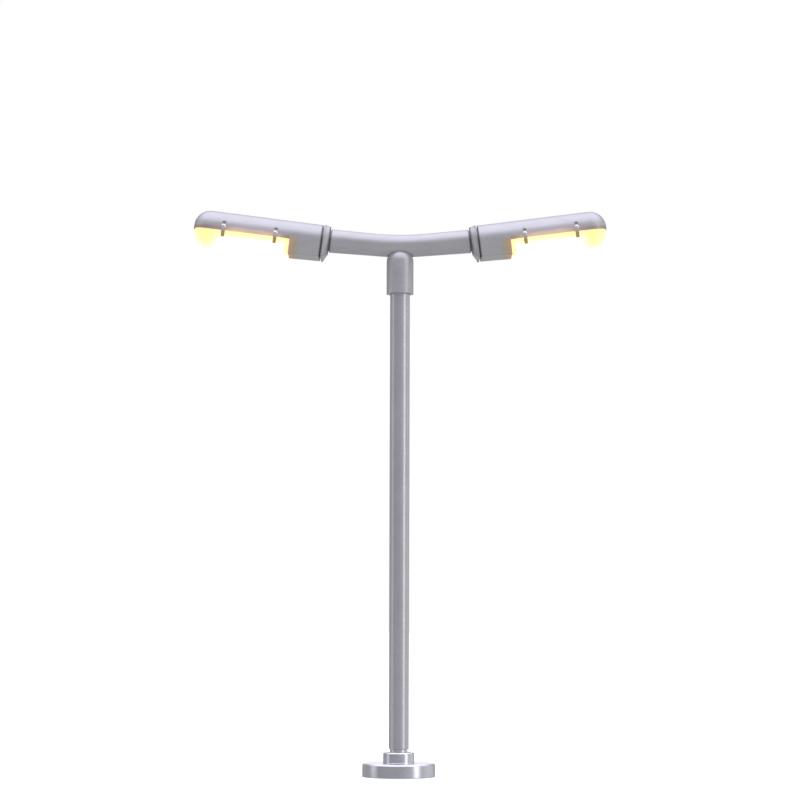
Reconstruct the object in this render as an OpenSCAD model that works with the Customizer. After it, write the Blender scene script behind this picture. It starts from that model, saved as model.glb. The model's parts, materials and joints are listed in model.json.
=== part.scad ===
// Twin-arm model street lamp: plug-in foot, straight mast, tee, shallow V arm and two long lamp heads.
// Millimetres, +Z up, origin at the centre of the foot's underside, arms along X, front towards -Y.

/* [Foot] */
// Diameter of the round foot
foot_d = 9.1; // [8.6:0.1:12]
// Thickness of the round foot
foot_h = 1.7; // [1.7:0.05:2.2]
// Radius of the edge around the foot's top
foot_edge_r = 0.3; // [0.1:0.05:0.5]
// Diameter of the socket boss on the foot
boss_d = 3.9; // [3.7:0.05:4.5]
// Height of the boss above the foot
boss_h = 1.3; // [1.2:0.05:1.5]
// Bore of the boss, which the grip sleeve turns in
boss_bore_d = 3.08; // [3.06:0.01:3.12]
// Diameter of the insulating disc under the foot
insulator_d = 5; // [4.6:0.1:5.6]
// Thickness of the insulating disc
insulator_h = 0.7; // [0.65:0.01:0.72]

/* [Plug] */
// Outer diameter of the grip sleeve
sleeve_d = 3; // [2.9:0.02:3.04]
// Diameter of the plug that the grip sleeve holds
plug_d = 2.2; // [1.9:0.05:2.22]
// Running clearance between the plug and the sleeve, on the radius
plug_clearance = 0.02; // [0.01:0.01:0.05]
// Diameter of the centre contact pin
pin_d = 0.7; // [0.5:0.05:0.8]
// Height of the plug that shows between the boss and the mast tube
plug_show = 0.4; // [0.2:0.05:1]

/* [Mast] */
// Outer diameter of the mast tube
mast_d = 2.5; // [2.3:0.05:2.8]
// Wall of the mast tube
mast_wall = 0.35; // [0.25:0.05:0.4]
// Height of the tee's lower end above the table
tee_z = 60.3; // [40:0.5:80]
// Diameter of the tee
tee_d = 3.4; // [3.2:0.1:4]

/* [Arm] */
// Height of the arm's two straight legs where they would meet, above the tee's lower end
arm_rise = 6.02; // [5.8:0.05:6.5]
// Angle at which each leg of the arm rises
arm_tilt = 4.85; // [3:0.05:7]
// Radius of the bend in the middle of the arm
arm_bend_r = 36; // [20:1:40]
// Diameter of the arm in the middle
arm_mid_d = 2.84; // [2.6:0.02:3]
// Diameter of the arm at the lamp heads
arm_end_d = 3; // [2.7:0.02:3.06]
// Bore of the arm
arm_bore_d = 1.5; // [1.3:0.05:1.6]
// Distance from the middle to each lamp head
arm_reach = 8.95; // [8:0.05:14]

/* [Lamp head] */
// Angle at which each lamp head rises
head_tilt = 7.3; // [5:0.1:9]
// Length of a lamp head, with its neck cap
head_len = 17.2; // [16.5:0.05:20]
// Width of a lamp head
head_w = 4.6; // [4.4:0.1:5]
// Height of the roof above the arm's axis at the neck
roof_top = 1.85; // [1.8:0.05:2]
// Height of the roof's sides, from the rim to the top
roof_h = 2.55; // [2.45:0.05:2.6]
// Radius of the roof's long upper edges and of the nose
roof_edge_r = 2.1; // [2:0.05:2.15]
// Wall of the housing
wall = 0.45; // [0.35:0.05:0.5]
// Shadow groove between the neck cap and the housing, and around the arm in the cap's mouth
seam = 0.18; // [0.05:0.01:0.2]
// Length of the neck cap
cap_len = 0.8; // [0.7:0.05:1.2]
// Place of the gear box's outer end along the head
box_end = 4.9; // [4.85:0.05:5.2]
// Depth of the gear box below the arm's axis at its outer end
box_depth = 2.54; // [2.5:0.02:2.7]
// Angle at which the underside leaves the roof's line
under_tilt = 2.1; // [0:0.1:3]

/* [Lens] */
// Width of the lens cover
lens_w = 4.4; // [4.2:0.05:4.5]
// Wall of the lens cover
lens_wall = 0.45; // [0.35:0.05:0.5]
// Radius of the lens cover's outer end, seen from the side
lens_end_r = 1.8; // [1.6:0.05:2.4]
// Radius of the lens cover's long lower edges
lens_edge_r = 1.3; // [0.8:0.1:1.4]
// Height of the lens cover's lip inside the housing
lip_h = 0.35; // [0.2:0.05:0.4]
// Place of the first clip along the head
clip_in = 6.75; // [6.5:0.05:8]
// Place of the second clip along the head
clip_out = 13.3; // [11:0.05:13.6]

/* [Bulb] */
// Diameter of the bulb's glass
bulb_d = 1.8; // [1.5:0.05:1.9]
// Length of the bulb's glass
bulb_len = 4.8; // [3:0.1:6]
// Depth of the bulb's axis below the arm's axis at the neck
bulb_drop = 0.95; // [0.9:0.05:0.97]
// Diameter of the connecting wires
wire_d = 0.28; // [0.2:0.02:0.3]

/* [Hidden] */
$fn = 48;
eps = 0.01;
// Glue or press gap between fixed pieces
gap = 0.02;
// Step in diameter where a straight piece runs into a bend
step = 0.01;
SIDES = ["left", "right"];
HEAD_PARTS = ["neck_cap", "housing", "reflector", "bulb_holder", "holder_contacts", "bulb_base",
    "bulb_glass", "filament", "lens", "lens_clips", "live_wire", "return_wire"];

// Foot and plug levels
seat_z = insulator_h + 0.05;
rivet_z = 0.08;
rivet_d = 0.7;
flange_h = 0.3;
flange_d = sleeve_d + 0.8;
boss_z = foot_h + boss_h;
sleeve_z = seat_z + 0.05;
sleeve_top_z = boss_z - 0.08;
plug_bore_d = pin_d + 0.44;
plug_z = seat_z + 0.4;
tube_z = boss_z + plug_show;
spigot_h = 3;
spigot_top_z = tube_z + spigot_h;
pin_z = seat_z + 0.23;
pin_top_z = spigot_top_z + 0.4;
mast_bore_d = mast_d - 2 * mast_wall;

// Tee and arm
tube_top_z = tee_z + 4.1;
vee_z = tee_z + arm_rise;
bend_x = arm_bend_r * sin(arm_tilt);
bend_z = vee_z + arm_bend_r * (1 / cos(arm_tilt) - 1);
leg_end_x = arm_reach + 0.7;
tee_dome_z = bend_z - 2.05;

// Lamp head: along the head (u), across it (v) and square to it (w), from the arm's axis at the neck
neck_z = vee_z + arm_reach * tan(arm_tilt);
rim = roof_top - roof_h;
box_in = cap_len + seam;
box_wall_in = box_end - wall;
nose_u = head_len - roof_edge_r;
lens_end = head_len - 0.15;
lens_start = box_end + 0.04;
bulb_u = box_end + 0.5;
holder_in = cap_len + 1.2;
clip_knob_w = 0.46;

// Wires
wire_x = 0.3;
wire_y = 0.42;
wire_bend_r = 1.1;
wire_drop = 0.25;
wire_turn = 90 - arm_tilt;
wire_end_x = arm_reach + holder_in - 0.3;

function under(u) = -box_depth - (u - box_end) * tan(under_tilt);
function leg_z(x) = vee_z + x * tan(arm_tilt);

module side(s) {
    if (s == "left") mirror([1, 0, 0]) children();
    else children();
}

module head_frame() translate([arm_reach, 0, neck_z]) rotate([0, -head_tilt, 0]) children();

// Solids drawn by their outline along the head, across it, or from above
module along(u0, u1) translate([u0, 0, 0]) rotate([90, 0, 90]) linear_extrude(u1 - u0) children();
module across(w) rotate([90, 0, 0]) linear_extrude(w, center = true) children();

module tube(od, id, z0, z1) {
    difference() {
        translate([0, 0, z0]) cylinder(d = od, h = z1 - z0);
        translate([0, 0, z0 - 1]) cylinder(d = id, h = z1 - z0 + 2);
    }
}

// ---------- Foot ----------

module base_socket() color("Gainsboro") {
    r = foot_edge_r;
    difference() {
        union() {
            rotate_extrude() {
                square([foot_d / 2 - r, foot_h]);
                square([foot_d / 2, foot_h - r]);
                translate([foot_d / 2 - r, foot_h - r]) circle(r);
            }
            cylinder(d = boss_d, h = boss_z - 0.12);
            translate([0, 0, boss_z - 0.12 - eps]) cylinder(d1 = boss_d, d2 = boss_d - 0.24, h = 0.12 + eps);
        }
        translate([0, 0, -1]) cylinder(d = insulator_d + 2 * gap, h = 1 + seat_z);
        translate([0, 0, -1]) cylinder(d = flange_d + 0.08, h = 1 + seat_z + flange_h + 0.1);
        translate([0, 0, -1]) cylinder(d = boss_bore_d, h = boss_z + 2);
    }
}

module foot_insulator() color("DimGray") {
    difference() {
        translate([0, 0, 0.05]) cylinder(d = insulator_d, h = insulator_h - 0.05);
        translate([0, 0, -1]) cylinder(d = rivet_d + 2 * gap, h = 3);
        translate([0, 0, -1]) cylinder(d = 1.64, h = 1.25);
    }
}

module contact_rivet() color("Goldenrod") {
    shank_top = seat_z + 0.1;
    translate([0, 0, rivet_z]) cylinder(d = 1.6, h = 0.15);
    translate([0, 0, rivet_z]) cylinder(d = rivet_d, h = shank_top - rivet_z);
    translate([0, 0, shank_top - eps]) cylinder(d1 = 1, d2 = rivet_d, h = 0.1);
}

module contact_spring() color("Gold") {
    difference() {
        translate([0, 0, insulator_h + 0.01]) cylinder(d1 = 1.9, d2 = 1.5, h = 0.12);
        translate([0, 0, insulator_h - 0.06]) cylinder(d1 = 1.7, d2 = 1.3, h = 0.12);
        cylinder(d = rivet_d + 2 * gap, h = 3);
    }
}

// ---------- Plug ----------

module grip_sleeve() color("DarkGoldenrod") {
    slot_w = 0.26;
    difference() {
        union() {
            translate([0, 0, sleeve_z]) cylinder(d = sleeve_d, h = sleeve_top_z - sleeve_z);
            translate([0, 0, sleeve_z]) cylinder(d = flange_d, h = flange_h);
        }
        translate([0, 0, -1]) cylinder(d = plug_d + 2 * plug_clearance, h = boss_z + 2);
        for (a = [45, 135])
            rotate([0, 0, a])
                translate([-boss_d, -slot_w / 2, sleeve_z + 0.8])
                    cube([2 * boss_d, slot_w, boss_h + foot_h]);
    }
}

module mast_plug() color("Silver") {
    difference() {
        union() {
            translate([0, 0, plug_z]) cylinder(d1 = plug_d - 0.3, d2 = plug_d, h = 0.15);
            translate([0, 0, plug_z + 0.15 - eps]) cylinder(d = plug_d, h = tube_z - plug_z - 0.15 + eps);
            translate([0, 0, tube_z - eps]) cylinder(d = mast_bore_d - 2 * gap, h = spigot_h + eps);
        }
        translate([0, 0, -1]) cylinder(d = plug_bore_d, h = pin_top_z + 2);
    }
}

module pin_bush() color("Ivory") {
    tube(plug_bore_d - 2 * gap, pin_d + 2 * gap, plug_z + 0.1, spigot_top_z - 0.2);
}

module contact_pin() color("Khaki") {
    translate([0, 0, pin_z + 0.12 - eps]) cylinder(d = pin_d, h = pin_top_z - pin_z - 0.12);
    translate([0, 0, pin_z]) cylinder(d1 = pin_d - 0.24, d2 = pin_d, h = 0.12);
}

// Bead that joins the two live wires to the pin
module live_solder() color("LightSteelBlue") {
    bead_d = 1.3;
    bead_z = pin_top_z - 0.3;
    difference() {
        union() {
            translate([0, 0, bead_z]) cylinder(d1 = bead_d - 0.4, d2 = bead_d, h = 0.25);
            translate([0, 0, bead_z + 0.25 - eps]) cylinder(d = bead_d, h = 0.7);
            translate([0, 0, bead_z + 0.95 - 2 * eps]) cylinder(d1 = bead_d, d2 = 0.7, h = 0.25);
        }
        translate([0, 0, 0]) cylinder(d = pin_d + gap, h = pin_top_z + gap);
        for (x = [-wire_x, wire_x])
            translate([x, -wire_y, pin_top_z + 0.1])
                cylinder(d = wire_d + gap, h = 3);
    }
}

// ---------- Mast and arm ----------

module mast_tube() color("LightSlateGray") {
    tube(mast_d, mast_bore_d, tube_z + eps, tube_top_z);
}

// Bead that joins the two return wires to the mast tube
module return_solder() color("LightSteelBlue") {
    bead_h = 1;
    difference() {
        translate([0, 0, tube_top_z - bead_h - 0.6])
            linear_extrude(bead_h)
                intersection() {
                    circle(d = mast_bore_d - gap);
                    translate([-mast_d / 2, 0.2]) square([mast_d, mast_d]);
                }
        for (x = [-wire_x, wire_x])
            translate([x, wire_y, tube_top_z - bead_h - 0.4])
                cylinder(d = wire_d + gap, h = 3);
    }
}

// Bend in the middle of the arm, and a straight leg on each side that starts just inside the bend
module arm_shape(mid_d, end_d, end_x) {
    translate([0, 0, bend_z + arm_bend_r])
        rotate([90, 0, 0])
            rotate([0, 0, -90 - arm_tilt])
                rotate_extrude(angle = 2 * arm_tilt)
                    translate([arm_bend_r, 0])
                        circle(d = mid_d);
    start_x = bend_x - 0.2;
    for (s = SIDES)
        side(s)
            translate([start_x, 0, leg_z(start_x)])
                rotate([0, 90 - arm_tilt, 0])
                    cylinder(d1 = mid_d - step, d2 = end_d, h = (end_x - start_x) / cos(arm_tilt));
}

module arm_solid(grow) arm_shape(arm_mid_d + 2 * grow, arm_end_d + 2 * grow, leg_end_x);

// Undercut in the arm just before the neck cap
module arm_groove() {
    head_frame() rotate([0, -90, 0]) difference() {
        cylinder(d = 2 * arm_end_d, h = seam);
        translate([0, 0, -1]) cylinder(d = arm_end_d - 2 * seam, h = seam + 2);
    }
}

module arm_tube() color("LightSlateGray") {
    difference() {
        arm_solid(0);
        arm_shape(arm_bore_d, arm_bore_d, leg_end_x + 1);
        translate([0, 0, bend_z - 3]) cylinder(d = mast_bore_d, h = 3);
        for (s = SIDES) side(s) arm_groove();
    }
}

module tee_sleeve() color("SlateGray") {
    difference() {
        union() {
            translate([0, 0, tee_z]) cylinder(d = tee_d, h = tee_dome_z - tee_z);
            translate([0, 0, tee_dome_z]) sphere(d = tee_d);
        }
        translate([0, 0, tee_z - 1]) cylinder(d = mast_d + 2 * gap, h = tube_top_z + gap - tee_z + 1);
        translate([0, 0, tee_z]) cylinder(d = mast_bore_d, h = 5);
        arm_solid(gap);
    }
}

// ---------- Lamp heads ----------

// Cross-section with rounded upper corners, cut level at w0 and reaching up to w1
module roof_outline(half_w, w0, w1, r) {
    intersection() {
        translate([-half_w - 1, w0]) square([2 * half_w + 2, w1 - w0 + 1]);
        union() {
            translate([-half_w, w0 - 1]) square([2 * half_w, w1 - w0 - r + 1]);
            translate([-half_w + r, w0 - 1]) square([2 * (half_w - r), w1 - w0 + 1]);
            for (x = [-1, 1])
                translate([x * (half_w - r), w1 - r]) circle(r);
        }
    }
}

// Plan with a rounded outer end
module plan_outline(half_w, u0, u1, r) {
    translate([u0, -half_w]) square([u1 - u0 - r, 2 * half_w]);
    translate([u0, -half_w + r]) square([u1 - u0, 2 * (half_w - r)]);
    for (y = [-1, 1])
        translate([u1 - r, y * (half_w - r)]) circle(r);
}

// Half of the nose's section: a quarter circle above an upright side that goes down to low
module nose_outline(r, low) {
    intersection() {
        translate([0, low]) square([r, r - low]);
        union() {
            circle(r);
            translate([0, low - 1]) square([r, 1 - low]);
        }
    }
}

// Roof's solid with a ball-cornered nose, moved in by inset and reaching down to low
module roof_solid(u0, inset, low) {
    r = roof_edge_r - inset;
    centre_v = head_w / 2 - roof_edge_r;
    centre_w = roof_top - roof_edge_r;
    along(u0, nose_u) roof_outline(centre_v + r, low, centre_w + r, r);
    translate([nose_u, 0, centre_w]) {
        across(2 * centre_v) nose_outline(r, low - centre_w);
        for (s = [0, 1])
            mirror([0, s, 0])
                translate([0, centre_v, 0])
                    rotate_extrude(angle = 90)
                        nose_outline(r, low - centre_w);
    }
}

module box_outline(inset, u0, u1, top) {
    polygon([[u0, under(u0) + inset], [u1, under(u1) + inset], [u1, top], [u0, top]]);
}

module housing(s) color("LightSteelBlue") side(s) {
    recess_d = 0.46;
    recess_w = rim + clip_knob_w + 0.5;
    recess_depth = 0.25;
    head_frame() difference() {
        union() {
            roof_solid(box_in, 0, rim);
            across(head_w) box_outline(0, box_in, box_end, rim + eps);
        }
        difference() {
            roof_solid(box_in - 1, wall, rim - 1);
            across(head_w) box_outline(0, box_wall_in, box_end, roof_top);
            across(head_w) box_outline(0, box_in - 2, box_wall_in + eps, rim);
        }
        across(head_w - 2 * wall) box_outline(wall, box_in - 1, box_wall_in, rim + 0.2);
        translate([box_wall_in - 1, 0, -bulb_drop]) rotate([0, 90, 0]) cylinder(d = bulb_d + 0.3, h = 2);
        for (u = [clip_in, clip_out], v = [-1, 1])
            translate([u, v * head_w / 2, recess_w])
                rotate([90, 0, 0])
                    cylinder(d = recess_d, h = 2 * recess_depth, center = true);
    }
}

module cap_section(u0, u1, grow) {
    along(u0, u1) {
        translate([-head_w / 2 - grow, under(box_in) - grow])
            square([head_w + 2 * grow, roof_top - roof_edge_r - under(box_in) + grow]);
        roof_outline(head_w / 2 + grow, rim, roof_top + grow / 2, roof_edge_r);
    }
}

// Cone from the arm's mouth to a flange, with a hollow skirt that plugs into the housing
module neck_cap(s) color("SlateGray") side(s) {
    mouth_d = arm_end_d + 2 * seam;
    mouth_wall = 0.1;
    mouth_depth = 0.25;
    flange_u = cap_len - 0.2;
    flange_out = 0.06;
    skirt_len = 0.5;
    skirt_in = wall + gap;
    skirt_half_w = head_w / 2 - skirt_in;
    skirt_low = under(box_in) + skirt_in;
    difference() {
        head_frame() {
            hull() {
                rotate([0, 90, 0]) cylinder(d = mouth_d + 2 * mouth_wall, h = eps, $fn = 64);
                cap_section(flange_u, flange_u + eps, 0);
            }
            cap_section(flange_u, cap_len, flange_out);
            along(cap_len - eps, box_in + skirt_len) difference() {
                union() {
                    translate([-skirt_half_w, skirt_low]) square([2 * skirt_half_w, rim - skirt_low]);
                    roof_outline(skirt_half_w, rim - eps, roof_top - skirt_in, roof_edge_r - skirt_in);
                }
                translate([-1.2, -1.7]) square([2.4, 2.5]);
            }
        }
        arm_solid(gap);
        head_frame() rotate([0, 90, 0]) {
            translate([0, 0, -1]) cylinder(d = mouth_d, h = 1 + mouth_depth);
            cylinder(d = arm_bore_d, h = 5);
        }
    }
}

module reflector(s) color("WhiteSmoke") side(s) {
    half_w = head_w / 2 - wall - 0.35;
    slope = 0.5;
    sheet = 0.15;
    low = rim + 0.5;
    top = roof_top - wall - 0.25;
    head_frame()
        along(box_end + 0.15, nose_u - 0.6)
            difference() {
                polygon([[-half_w, low], [slope - half_w, top], [half_w - slope, top], [half_w, low]]);
                polygon([
                    [sheet - half_w, low - 0.1],
                    [sheet + slope - half_w, top - sheet],
                    [half_w - slope - sheet, top - sheet],
                    [half_w - sheet, low - 0.1]
                ]);
            }
}

module bulb_holder(s) color("Beige") side(s) {
    half_w = head_w / 2 - wall - 0.25;
    low = under(box_in) + wall + 0.15;
    head_frame() difference() {
        across(2 * half_w)
            polygon([[holder_in, low], [box_wall_in - gap, low], [box_wall_in - gap, 0.5], [holder_in, 0.5]]);
        translate([holder_in + 0.4, 0, -bulb_drop]) rotate([0, 90, 0]) cylinder(d = bulb_d + 0.16, h = 5);
        translate([holder_in - 1, 0, -bulb_drop]) rotate([0, 90, 0]) cylinder(d = 0.54, h = 3);
        translate([holder_in - 1, 0.3, -bulb_drop]) cube([box_wall_in, 0.7, 1.15]);
    }
}

// Live strip behind the bulb's tip, and return strip on top of its base
module holder_contacts(s) color("Goldenrod") side(s) {
    strip = 0.15;
    back = holder_in - gap;
    return_w = bulb_d / 2 + 0.08 - bulb_drop;
    return_leg = 0.59;
    head_frame() {
        translate([back - strip, -0.95, -bulb_drop - 0.4]) cube([strip, 1.15, 1.2]);
        translate([back - eps, 0, -bulb_drop]) rotate([0, 90, 0]) cylinder(d = 0.4, h = 0.5);
        translate([back - strip, 0.32, return_w - return_leg]) cube([strip, 0.66, return_leg + strip]);
        translate([back - eps, 0.32, return_w]) cube([box_wall_in - back - 0.1, 0.66, strip]);
    }
}

module bulb_base(s) color("Goldenrod") side(s) {
    start = holder_in + 0.52;
    head_frame()
        translate([start, 0, -bulb_drop])
            rotate([0, 90, 0]) {
                cylinder(d1 = 1, d2 = bulb_d + 0.1, h = 0.4);
                translate([0, 0, 0.4 - eps]) cylinder(d = bulb_d + 0.1, h = bulb_u - start - 0.4);
            }
}

module bulb_glass(s) color("LightYellow", 0.5) side(s) {
    r = bulb_d / 2;
    glass = 0.14;
    head_frame()
        translate([bulb_u, 0, -bulb_drop])
            rotate([0, 90, 0])
                difference() {
                    union() {
                        cylinder(r = r, h = bulb_len - r);
                        translate([0, 0, bulb_len - r]) sphere(r);
                    }
                    translate([0, 0, glass]) cylinder(r = r - glass, h = bulb_len - r - glass);
                    translate([0, 0, bulb_len - r]) sphere(r - glass);
                    for (y = [-0.3, 0.3])
                        translate([0, y, -1]) cylinder(d = 0.16, h = 3);
                }
}

module filament(s) color("Gray") side(s) {
    post_d = 0.12;
    post_h = 2.4;
    head_frame()
        translate([bulb_u, 0, -bulb_drop])
            rotate([0, 90, 0]) {
                for (y = [-0.3, 0.3])
                    translate([0, y, gap]) cylinder(d = post_d, h = post_h);
                translate([0, -0.34, post_h]) rotate([-90, 0, 0]) cylinder(d = 0.16, h = 0.68);
            }
}

// Frame along the lens cover's underside, which leaves the roof's line by under_tilt
module under_frame() translate([box_end, 0, under(box_end)]) rotate([0, under_tilt, 0]) children();

// Bowl's solid below top, moved in by inset
module lens_solid(inset, top) {
    half_w = lens_w / 2 - inset;
    end_u = (lens_end - box_end) * cos(under_tilt) - lens_end_r;
    high = 4;
    intersection() {
        under_frame() intersection() {
            along(-1, head_len) mirror([0, 1]) roof_outline(half_w, -high, -inset, lens_edge_r - inset);
            across(lens_w + 2) {
                translate([-2, inset]) square([end_u + 2, high + 1]);
                translate([end_u, lens_end_r]) circle(lens_end_r - inset);
                translate([end_u - 1, lens_end_r]) square([lens_end_r - inset + 1, high + 1]);
            }
        }
        translate([0, 0, -6])
            linear_extrude(6 + top)
                plan_outline(half_w, lens_start + inset, lens_end - inset, 1.8 - inset);
    }
}

module lens(s) color("Khaki", 0.6) side(s) {
    lip_half_w = head_w / 2 - wall - 0.05;
    lip_end = nose_u + 0.1;
    lip_low = rim - 0.3;
    lip_wall = 0.35;
    notch_r = bulb_d / 2 + 0.15;
    head_frame() difference() {
        union() {
            difference() {
                lens_solid(0, rim - gap);
                lens_solid(lens_wall, rim + 1);
            }
            difference() {
                translate([lens_start, -lip_half_w, lip_low])
                    cube([lip_end - lens_start, 2 * lip_half_w, rim + lip_h - lip_low]);
                translate([lens_start + lens_wall - 0.05, lip_wall - lip_half_w, lip_low - 1])
                    cube([head_len, 2 * (lip_half_w - lip_wall), 3]);
            }
        }
        translate([lens_start - 1, 0, -bulb_drop]) rotate([0, 90, 0]) cylinder(r = notch_r, h = 2);
        translate([lens_start - 1, -notch_r, -bulb_drop]) cube([2, 2 * notch_r, 3]);
    }
}

module lens_clips(s) color("Silver") side(s) {
    clip_w = 0.46;
    knob_d = 0.6;
    hook_low = -0.85;
    plate = 0.13;
    face = head_w / 2 + 0.04;
    head_frame()
        for (u = [clip_in, clip_out], y = [0, 1])
            mirror([0, y, 0]) translate([u, 0, rim]) {
                translate([-clip_w / 2, face, hook_low]) cube([clip_w, plate, clip_knob_w - hook_low]);
                translate([-clip_w / 2, lens_w / 2 + eps, hook_low]) cube([clip_w, face - lens_w / 2, 0.5]);
                translate([0, face, clip_knob_w]) rotate([-90, 0, 0]) {
                    cylinder(d = knob_d, h = 0.2);
                    translate([0, 0, 0.2 - eps]) cylinder(d1 = knob_d, d2 = knob_d / 2, h = 0.1);
                }
            }
}

// ---------- Wires ----------

// Up the mast from z0, round into the arm and out to the bulb holder, at depth y
module wire(y, z0) {
    corner_x = wire_x + wire_bend_r;
    out_x = corner_x - wire_bend_r * sin(arm_tilt);
    bend_end_z = leg_z(out_x) - wire_drop;
    corner_z = bend_end_z - wire_bend_r * cos(arm_tilt);
    into = 0.05;
    translate([wire_x, y, z0]) cylinder(d = wire_d - step, h = corner_z - z0 + into);
    translate([corner_x, y, corner_z])
        rotate([90, 0, 0])
            rotate([0, 0, 90 + arm_tilt])
                rotate_extrude(angle = wire_turn)
                    translate([wire_bend_r, 0])
                        circle(d = wire_d);
    translate([out_x, y, bend_end_z])
        rotate([0, 90 - arm_tilt, 0])
            translate([0, 0, -into])
                cylinder(d = wire_d - step, h = (wire_end_x - out_x) / cos(arm_tilt) + into);
}

module live_wire(s) color("Crimson") side(s) wire(-wire_y, pin_top_z + 0.12);
module return_wire(s) color("DarkSlateGray") side(s) wire(wire_y, tube_top_z - 1.38);

// ---------- Assembly ----------

base_socket();
foot_insulator();
contact_rivet();
contact_spring();
grip_sleeve();
mast_plug();
pin_bush();
contact_pin();
live_solder();
mast_tube();
return_solder();
tee_sleeve();
arm_tube();
for (s = SIDES) {
    neck_cap(s);
    housing(s);
    reflector(s);
    bulb_holder(s);
    holder_contacts(s);
    bulb_base(s);
    bulb_glass(s);
    filament(s);
    lens(s);
    lens_clips(s);
    live_wire(s);
    return_wire(s);
}
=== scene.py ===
"""Looks of the twin-arm model street lamp: finishes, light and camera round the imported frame.

Metres, +Z up, front towards -Y. A lamp head has its own directions: u outward along it and w up, square to u.
"""

import json
import math

import bpy
from mathutils import Matrix, Vector

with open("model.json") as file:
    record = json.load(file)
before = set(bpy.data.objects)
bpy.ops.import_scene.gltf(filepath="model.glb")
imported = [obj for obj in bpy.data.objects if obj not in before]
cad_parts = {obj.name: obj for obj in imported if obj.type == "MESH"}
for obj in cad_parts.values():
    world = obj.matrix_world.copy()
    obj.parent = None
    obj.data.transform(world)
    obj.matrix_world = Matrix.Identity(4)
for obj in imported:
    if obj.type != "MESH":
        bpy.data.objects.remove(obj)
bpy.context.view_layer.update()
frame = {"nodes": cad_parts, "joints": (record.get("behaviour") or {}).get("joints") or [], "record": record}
nodes = frame["nodes"]

MM = 0.001


# ---------- Places, worked out from the frame ----------

def extent(node, direction):
    """Lowest and highest reach of a CAD node along a direction, in millimetres."""
    along = [vertex.co.dot(direction) / MM for vertex in nodes[node].data.vertices]
    return min(along), max(along)


lens_axis = next(Vector(j["axis"]) for j in frame["joints"] if j["name"] == "lens_right_off")
HEAD_U = Vector((-lens_axis.z, 0, lens_axis.x))
HEAD_W = -lens_axis

# In millimetres: the covers' lip, the width of a seam, and where a head's cover, rim and seams lie
LENS_LIP = 0.35
SEAM = 0.18
LENS_IN, LENS_OUT = extent("lens_right", HEAD_U)
RIM = extent("lens_right", HEAD_W)[1] - LENS_LIP
SEAMS = [extent(node, HEAD_U)[0] for node in ("neck_cap_right", "housing_right")]


# ---------- Node trees ----------

class Tree:
    """A short way to write a node tree: every method adds one node and gives its output."""

    def __init__(self, tree):
        self.tree = tree
        tree.nodes.clear()

    def add(self, kind, inputs=(), out=0, **settings):
        node = self.tree.nodes.new("ShaderNode" + kind)
        for key, value in settings.items():
            setattr(node, key, value)
        for key, value in dict(inputs).items():
            self.feed(node.inputs[key], value)
        return node.outputs[out]

    def feed(self, socket, value):
        if isinstance(value, bpy.types.NodeSocket):
            self.tree.links.new(value, socket)
        elif socket.type == "RGBA":
            socket.default_value = (*value[:3], 1)
        else:
            socket.default_value = value

    def math(self, operation, a, b=0.0, clamp=False):
        return self.add("Math", {0: a, 1: b}, operation=operation, use_clamp=clamp)

    def times(self, *values):
        product = values[0]
        for value in values[1:]:
            product = self.math("MULTIPLY", product, value)
        return product

    def plus(self, *values):
        total = values[0]
        for value in values[1:]:
            total = self.math("ADD", total, value)
        return total

    def place(self, scale=(1, 1, 1)):
        """Object coordinates in millimetres, stretched by scale."""
        coords = self.add("TexCoord", out="Object")
        return self.add("VectorMath", {0: coords, 1: [s / MM for s in scale]}, operation="MULTIPLY")

    def axes(self, vector):
        split = self.tree.nodes.new("ShaderNodeSeparateXYZ")
        self.feed(split.inputs[0], vector)
        return split.outputs

    def dot(self, vector, direction):
        return self.add("VectorMath", {0: vector, 1: direction}, out="Value", operation="DOT_PRODUCT")

    def noise(self, vector, scale, detail=3, rough=0.55):
        return self.add("TexNoise", {"Vector": vector, "Scale": scale, "Detail": detail, "Roughness": rough})

    def cells(self, vector, scale, out="Color"):
        return self.add("TexVoronoi", {"Vector": vector, "Scale": scale}, out=out)

    def span(self, value, low, high, to_low=0.0, to_high=1.0, smooth=False):
        """Maps value from low..high to to_low..to_high, held at the ends."""
        kind = "SMOOTHSTEP" if smooth else "LINEAR"
        inputs = {"Value": value, "From Min": low, "From Max": high, "To Min": to_low, "To Max": to_high}
        return self.add("MapRange", inputs, interpolation_type=kind, clamp=True)

    def blend(self, share, a, b):
        return self.add("MixRGB", {"Fac": share, "Color1": a, "Color2": b})

    def ramp(self, value, stops, ease="LINEAR"):
        """Colours or greys at places from 0 to 1."""
        node = self.tree.nodes.new("ShaderNodeValToRGB")
        self.feed(node.inputs[0], value)
        node.color_ramp.interpolation = ease
        for i, (place, colour) in enumerate(stops):
            points = node.color_ramp.elements
            point = points[i] if i < len(points) else points.new(place)
            point.position = place
            point.color = (*colour, 1) if hasattr(colour, "__len__") else (colour, colour, colour, 1)
        return node.outputs[0]

    def softened(self, radius):
        """Normals that round sharp edges off by a radius in millimetres."""
        return self.add("Bevel", {"Radius": radius * MM}, samples=6)

    def bump(self, height, depth, strength=1.0, normal=None):
        """Bump of a depth in millimetres."""
        inputs = {"Height": height, "Distance": depth * MM, "Strength": strength}
        if normal is not None:
            inputs["Normal"] = normal
        return self.add("Bump", inputs)

    def principled(self, **inputs):
        shader = self.add("BsdfPrincipled", {k.replace("_", " "): v for k, v in inputs.items()})
        self.surface(shader)

    def surface(self, shader):
        output = self.tree.nodes.new("ShaderNodeOutputMaterial")
        self.tree.links.new(shader, output.inputs["Surface"])


def finish_of(name):
    """A new material and its empty node tree."""
    material = bpy.data.materials.new(name)
    material.use_nodes = True
    return material, Tree(material.node_tree)


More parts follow.
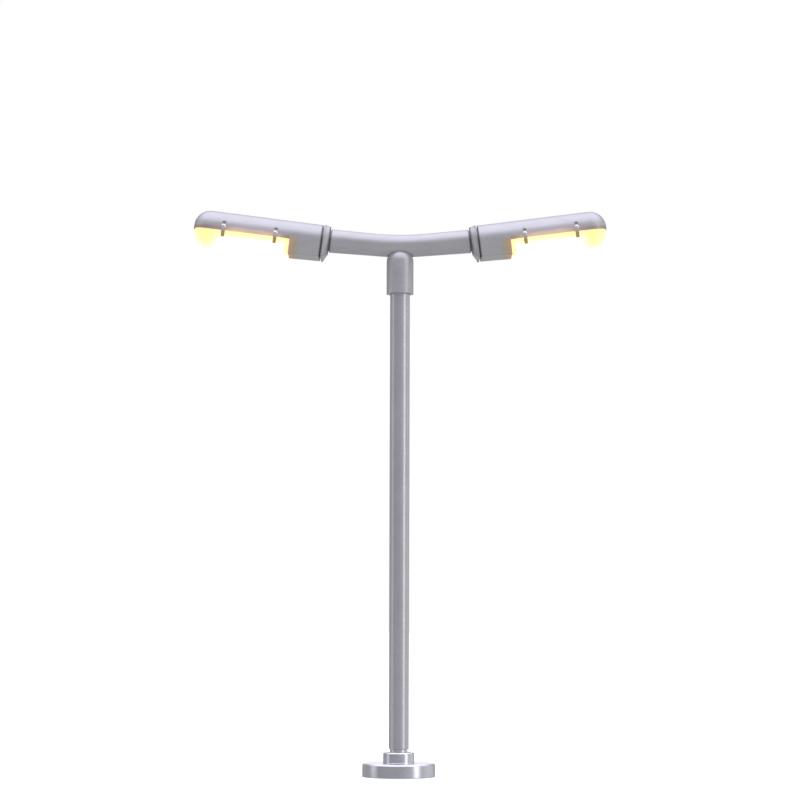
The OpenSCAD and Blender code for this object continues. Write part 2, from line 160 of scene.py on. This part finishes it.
def head_axes(t):
    """A point's u and w in its lamp head, in millimetres, the same on both sides."""
    split = t.axes(t.place())
    folded = t.add("CombineXYZ", {"X": t.math("ABSOLUTE", split["X"]), "Y": split["Y"], "Z": split["Z"]})
    return t.dot(folded, HEAD_U), t.dot(folded, HEAD_W)


# ---------- Finishes ----------

def mast_paint():
    """Glossy silver-grey paint over brass: fine flake, a little orange peel, faint wear."""
    material, t = finish_of("mast_paint")
    place = t.place()
    flake = t.axes(t.cells(place, 22))["X"]
    peel = t.noise(place, 2.6, 2)
    drag = t.noise(t.place((1, 1, 0.06)), 6, 3)
    dust = t.noise(place, 0.35, 5, 0.65)
    tone = t.plus(t.times(flake, 0.16), t.times(drag, 0.3), t.times(dust, 0.54))
    colour = t.blend(t.span(tone, 0.3, 0.7), (0.59, 0.58, 0.62), (0.67, 0.66, 0.70))
    normal = t.bump(peel, 0.012, 0.5, t.bump(flake, 0.004, 0.35, t.softened(0.1)))
    t.principled(
        Base_Color=colour,
        Metallic=0.72,
        Roughness=t.span(dust, 0.3, 0.75, 0.2, 0.29),
        Normal=normal,
    )
    return material


def silver_plastic():
    """Satin silver-grey moulded plastic, with a painted glow, as if lit through, along the cover and at the
    gear box's end; painted shade at its outline, above the rim and at the seams; painted lens light on the
    gear box's end.
    """
    material, t = finish_of("silver_plastic")
    u, w = head_axes(t)
    grain = t.noise(t.place(), 9, 4, 0.6)
    flow = t.noise(t.place((0.25, 1, 1)), 1.6, 3)
    tone = t.plus(t.times(grain, 0.45), t.times(flow, 0.55))
    colour = t.blend(t.span(tone, 0.35, 0.65), (0.53, 0.53, 0.54), (0.60, 0.60, 0.61))
    # Painted shade: the outline, where the surface turns away, is darkened above the rim and fades out just
    # below it.
    turned_away = t.add("LayerWeight", {"Blend": 0.5}, out="Facing")
    shaded = t.times(t.span(turned_away, 0.45, 1, 0, 0.45, smooth=True), t.span(w, RIM - 0.4, RIM + 0.2))
    colour = t.blend(shaded, colour, (0.1, 0.1, 0.1))

    # Painted glow: warm light given off by the housing just above the rim along the cover, and on the gear
    # box's end beside it, in place of the bulb's light shining through the plastic.
    along_lens = t.times(
        t.span(u, LENS_IN - 1, LENS_IN + 2.7, 0, 1, smooth=True),
        t.span(u, LENS_OUT - 6, LENS_OUT - 1, 1, 0.12, smooth=True),
    )
    above_rim = t.span(w, RIM + 0.05, RIM + 1.25, 1, 0, smooth=True)
    box_edge = t.times(
        t.span(w, RIM - 2.2, RIM - 0.1, 0.7, 1),
        t.span(w, RIM - 0.05, RIM + 0.1, 1, 0),
        t.span(u, LENS_IN - 1, LENS_IN - 0.05, 0, 1, smooth=True),
    )
    glow = t.plus(t.times(above_rim, along_lens, t.span(flow, 0.3, 0.7, 0.75, 1)), t.times(box_edge, 0.3))
    warm = t.ramp(glow, [(0, (0, 0, 0)), (0.4, (0.17, 0.07, 0.09)), (1, (0.84, 0.5, 0.24))])

    # Painted shade: a brown-tinted dark band just above the rim along the cover, strongest towards its ends.
    stain_and_painted_shade = t.times(
        t.span(w, RIM + 0.25, RIM + 0.55, 0.45, 0, smooth=True),
        t.span(u, LENS_IN - 0.1, LENS_IN + 0.1),
        t.span(along_lens, 0.2, 0.9, 1, 0.15),
    )
    colour = t.blend(stain_and_painted_shade, colour, (0.33, 0.23, 0.16))
    # Painted light: a warm yellow-brown on the gear box's end beside the cover, near the rim, where the
    # lens's light falls.
    painted_lens_light_on_box_end = t.times(
        t.span(w, RIM - 0.1, RIM + 0.4, 0.8, 0, smooth=True),
        t.span(u, LENS_IN - 1.7, LENS_IN - 0.2, smooth=True),
        t.span(u, LENS_IN + 0.1, LENS_IN + 0.6, 1, 0),
    )
    colour = t.blend(painted_lens_light_on_box_end, colour, (0.64, 0.47, 0.2))
    # Painted shade: soft dark bands on both sides of the seams where the neck cap and the housing begin.
    painted_seam_shade = t.plus(*[
        t.times(
            t.span(u, seam - SEAM - 0.22, seam - SEAM + 0.04, smooth=True),
            t.span(u, seam - 0.04, seam + 0.22, 1, 0, smooth=True),
        )
        for seam in SEAMS
    ])
    colour = t.blend(t.times(painted_seam_shade, 0.62), colour, (0.12, 0.12, 0.13))
    t.principled(
        Base_Color=colour,
        Metallic=0.55,
        Roughness=t.span(grain, 0.3, 0.7, 0.34, 0.43),
        Specular_IOR_Level=0.3,
        Specular_Tint=(0.7, 0.7, 0.7),
        Emission_Color=warm,
        Emission_Strength=0.55,
        Normal=t.bump(grain, 0.008, 0.5, t.bump(flow, 0.03, 0.2, t.softened(0.14))),
    )
    return material


def plated_foot():
    """Polished nickel over turned brass: fine turning rings, handling marks."""
    material, t = finish_of("plated_foot")
    split = t.axes(t.place())
    radius = t.math("SQRT", t.plus(t.times(split["X"], split["X"]), t.times(split["Y"], split["Y"])))
    rings = t.add("CombineXYZ", {"X": radius, "Y": 0.0, "Z": split["Z"]})
    turning = t.noise(rings, 14, 4, 0.6)
    marks = t.noise(t.place(), 0.8, 5, 0.6)
    colour = t.blend(t.span(marks, 0.35, 0.7), (0.79, 0.80, 0.89), (0.71, 0.72, 0.80))
    t.principled(
        Base_Color=colour,
        Metallic=1.0,
        Roughness=t.span(t.plus(t.times(marks, 0.6), t.times(turning, 0.4)), 0.35, 0.7, 0.17, 0.28),
        Normal=t.bump(turning, 0.004, 0.35, t.softened(0.16)),
    )
    return material


def bright_sheet():
    """Bright rolled aluminium."""
    material, t = finish_of("reflector")
    rolled = t.noise(t.place((0.05, 1, 1)), 12, 3)
    t.principled(
        Base_Color=t.blend(rolled, (0.85, 0.84, 0.82), (0.93, 0.92, 0.9)),
        Metallic=1.0,
        Roughness=t.span(rolled, 0.3, 0.7, 0.18, 0.32),
        Normal=t.bump(rolled, 0.004, 0.4),
    )
    return material


def lit_lens():
    """Clear moulded plastic, white-hot along the bulb and yellow at both ends and along the rim."""
    material, t = finish_of("lit_lens")
    u, w = head_axes(t)
    cloud = t.noise(t.place(), 1.3, 3)
    nose_inset, nose_length, nose_depth = 1.6, 2.6, 3.5
    outward = t.times(t.plus(u, nose_inset - LENS_OUT), 1 / nose_length)
    below = t.times(t.plus(w, -RIM), 1 / nose_depth)
    from_nose = t.math("SQRT", t.plus(t.times(outward, outward), t.times(below, below)))
    nose = t.span(from_nose, 0.3, 1.2, 1, 0, smooth=True)
    box_side = t.span(u, LENS_IN + 0.2, LENS_IN + 1.3, 0.85, 0, smooth=True)
    top = t.span(w, RIM - 1.55, RIM - 0.15, 0, 0.95, smooth=True)
    cool = t.math("MAXIMUM", t.math("MAXIMUM", nose, box_side), top)
    cool = t.plus(cool, t.span(cloud, 0.3, 0.7, -0.04, 0.04))
    glow = t.ramp(cool, [(0, (1, 0.97, 0.86)), (0.45, (0.6, 0.54, 0.38)), (1, (0.4, 0.32, 0.15))])
    t.principled(
        Base_Color=t.ramp(cool, [(0, (0.95, 0.93, 0.85)), (0.5, (0.95, 0.88, 0.66)), (1, (0.86, 0.72, 0.4))]),
        Roughness=0.16,
        IOR=1.49,
        Transmission_Weight=0.4,
        Emission_Color=glow,
        Emission_Strength=1.15,
        Normal=t.bump(cloud, 0.02, 0.15),
    )
    return material


def bulb_glass():
    """Thin clear glass, flooded with warm light."""
    material, t = finish_of("bulb_glass")
    sleek = t.noise(t.place(), 2, 2)
    t.principled(
        Base_Color=(1, 0.97, 0.9),
        Roughness=t.span(sleek, 0.3, 0.7, 0.02, 0.07),
        IOR=1.5,
        Transmission_Weight=0.95,
        Emission_Color=t.blend(sleek, (1, 0.8, 0.42), (1, 0.86, 0.52)),
        Emission_Strength=0.5,
        Normal=t.bump(sleek, 0.01, 0.15),
    )
    return material


def filament():
    """Glowing tungsten wire."""
    material, t = finish_of("filament")
    heat = t.noise(t.place(), 5, 2)
    t.principled(
        Base_Color=(0.5, 0.42, 0.32),
        Metallic=1.0,
        Roughness=0.45,
        Emission_Color=t.blend(heat, (1, 0.6, 0.22), (1, 0.74, 0.36)),
        Emission_Strength=6.0,
        Normal=t.bump(heat, 0.003, 0.3),
    )
    return material


def metal(name, light, dark, grain, roughness, depth=0.004):
    """Bare metal with a fine rolled or drawn grain and a little tarnish."""
    material, t = finish_of(name)
    fine = t.noise(t.place(), grain, 4, 0.6)
    stain_and_painted_shade = t.noise(t.place(), grain / 8, 4, 0.6)
    share = t.plus(t.times(fine, 0.4), t.times(stain_and_painted_shade, 0.6))
    t.principled(
        Base_Color=t.blend(t.span(share, 0.35, 0.65), light, dark),
        Metallic=1.0,
        Roughness=t.span(share, 0.3, 0.7, roughness, roughness + 0.14),
        Normal=t.bump(fine, depth, 0.4),
    )
    return material


def clip_metal():
    """Bright spring steel, tinged brown below the rim where the lens light falls on it."""
    material, t = finish_of("clip_metal")
    w = head_axes(t)[1]
    fine = t.noise(t.place(), 16, 4, 0.6)
    steel = t.blend(t.span(fine, 0.35, 0.65), (0.92, 0.90, 0.88), (0.78, 0.75, 0.70))
    lit = t.span(w, RIM - 0.25, RIM + 0.1, 1, 0, smooth=True)
    t.principled(
        Base_Color=t.blend(lit, steel, (0.72, 0.57, 0.33)),
        Metallic=1.0,
        Roughness=t.span(fine, 0.3, 0.7, 0.32, 0.44),
        Normal=t.bump(fine, 0.004, 0.4),
    )
    return material


def moulded(name, light, dark, roughness, grain=8, depth=0.006):
    """Plain moulded or enamelled plastic with a fine grain."""
    material, t = finish_of(name)
    fine = t.noise(t.place(), grain, 4, 0.6)
    t.principled(
        Base_Color=t.blend(t.span(fine, 0.3, 0.7), light, dark),
        Roughness=t.span(fine, 0.3, 0.7, roughness, roughness + 0.12),
        Normal=t.bump(fine, depth, 0.4),
    )
    return material


FINISHES = {
    "plated_foot": plated_foot(),
    "mast_paint": mast_paint(),
    "silver_plastic": silver_plastic(),
    "reflector": bright_sheet(),
    "lit_lens": lit_lens(),
    "bulb_glass": bulb_glass(),
    "filament": filament(),
    "clip_metal": clip_metal(),
    "contact_brass": metal("contact_brass", (0.86, 0.63, 0.3), (0.66, 0.46, 0.2), 14, 0.22),
    "solder": metal("solder", (0.78, 0.79, 0.8), (0.6, 0.61, 0.62), 5, 0.2, 0.02),
    "black_insulator": moulded("black_insulator", (0.03, 0.03, 0.032), (0.012, 0.012, 0.014), 0.42, 11),
    "white_insulator": moulded("white_insulator", (0.82, 0.79, 0.72), (0.7, 0.67, 0.6), 0.45),
    "live_enamel": moulded("live_enamel", (0.36, 0.07, 0.03), (0.2, 0.035, 0.015), 0.2),
    "return_enamel": moulded("return_enamel", (0.06, 0.045, 0.035), (0.02, 0.016, 0.013), 0.2),
}
for part in frame["record"]["subparts"]:
    nodes[part["node"]].data.materials.clear()
    nodes[part["node"]].data.materials.append(FINISHES[part["material_slot"]])


# ---------- Stage, light and camera ----------

def camera_only(t, seen, felt):
    """One value for what the camera sees directly and another for what light and reflections carry."""
    return t.blend(t.add("LightPath", out="Is Camera Ray"), felt, seen)


def studio_world():
    """Soft studio surround: a tall softbox to the front right, grey walls, a bright ceiling and backdrop."""
    world = bpy.data.worlds.new("studio")
    bpy.context.scene.world = world
    world.use_nodes = True
    t = Tree(world.node_tree)
    direction = t.axes(t.add("TexCoord", out="Generated"))
    azimuth = t.math("ARCTAN2", direction["X"], t.times(direction["Y"], -1))
    turn = t.plus(t.times(azimuth, 0.5 / math.pi), 0.5)
    backdrop = [(-180, 1.0), (-170, 1.0), (-163, 0.42)]
    left_wall = [(-120, 0.36), (-102, 0.38), (-95, 0.55), (-86, 0.82), (-74, 0.5), (-67, 0.28)]
    room = [(-58, 0.33), (-46, 0.34), (0, 0.37), (40, 0.5)]
    softbox = [(47, 0.6), (54, 1.5), (61, 1.85), (67, 1.0), (74, 0.5)]
    right_wall = [(95, 0.62), (110, 0.68), (130, 0.6), (150, 0.42)]
    backdrop_again = [(163, 0.42), (170, 1.0), (180, 1.0)]
    around = backdrop + left_wall + room + softbox + right_wall + backdrop_again
    walls = t.ramp(turn, [((degrees + 180) / 360, grey) for degrees, grey in around])
    height = direction["Z"]
    ceiling = t.span(height, 0.35, 0.97, 0, 1, smooth=True)
    sky = t.blend(ceiling, walls, (1.74, 1.71, 2.0))
    ground = t.span(height, -0.25, -0.09, 1, 0, smooth=True)
    felt = t.blend(ground, sky, (0.53, 0.53, 0.52))
    background = t.add("Background", {"Color": camera_only(t, (1, 1, 1), felt), "Strength": 1.0})
    output = world.node_tree.nodes.new("ShaderNodeOutputWorld")
    world.node_tree.links.new(background, output.inputs["Surface"])


def floor():
    """Plain white table top, see-through from below."""
    half, drop = 3.0, 0.01 * MM
    mesh = bpy.data.meshes.new("floor")
    corners = [(-half, -half, 0), (half, -half, 0), (half, half, 0), (-half, half, 0)]
    mesh.from_pydata(corners, [], [(0, 1, 2, 3)])
    piece = bpy.data.objects.new("floor", mesh)
    bpy.context.scene.collection.objects.link(piece)
    piece.location.z = -drop
    material, t = finish_of("table_top")
    paper = t.noise(t.place(), 0.02, 3)
    white = t.blend(paper, (0.93, 0.93, 0.93), (0.95, 0.95, 0.95))
    diffuse = t.add("BsdfDiffuse", {"Color": camera_only(t, white, (0.42, 0.42, 0.43))})
    lift = t.add("Emission", {"Color": camera_only(t, (1, 1, 1), (0, 0, 0)), "Strength": 0.42})
    top = t.add("AddShader", {0: diffuse, 1: lift})
    under = t.add("NewGeometry", out="Backfacing")
    t.surface(t.add("MixShader", {0: under, 1: top, 2: t.add("BsdfTransparent")}))
    mesh.materials.append(material)
    piece.visible_glossy = False


def camera():
    """Long lens, a little above the foot and tilted up at the lamp."""
    distance, height, sideways = 0.300, 0.0195, 0.00004
    field = 0.1002
    tilt, roll = math.radians(5.218), math.radians(0.16)
    data = bpy.data.cameras.new("camera")
    data.sensor_width = 36
    data.lens = data.sensor_width * distance / field
    data.clip_start = 0.005
    eye = bpy.data.objects.new("camera", data)
    bpy.context.scene.collection.objects.link(eye)
    aim = Matrix.Rotation(math.pi / 2 + tilt, 4, "X") @ Matrix.Rotation(roll, 4, "Z")
    eye.matrix_world = Matrix.Translation((sideways, -distance, height)) @ aim
    bpy.context.scene.camera = eye


studio_world()
floor()
camera()
bpy.context.scene.view_settings.view_transform = "Standard"
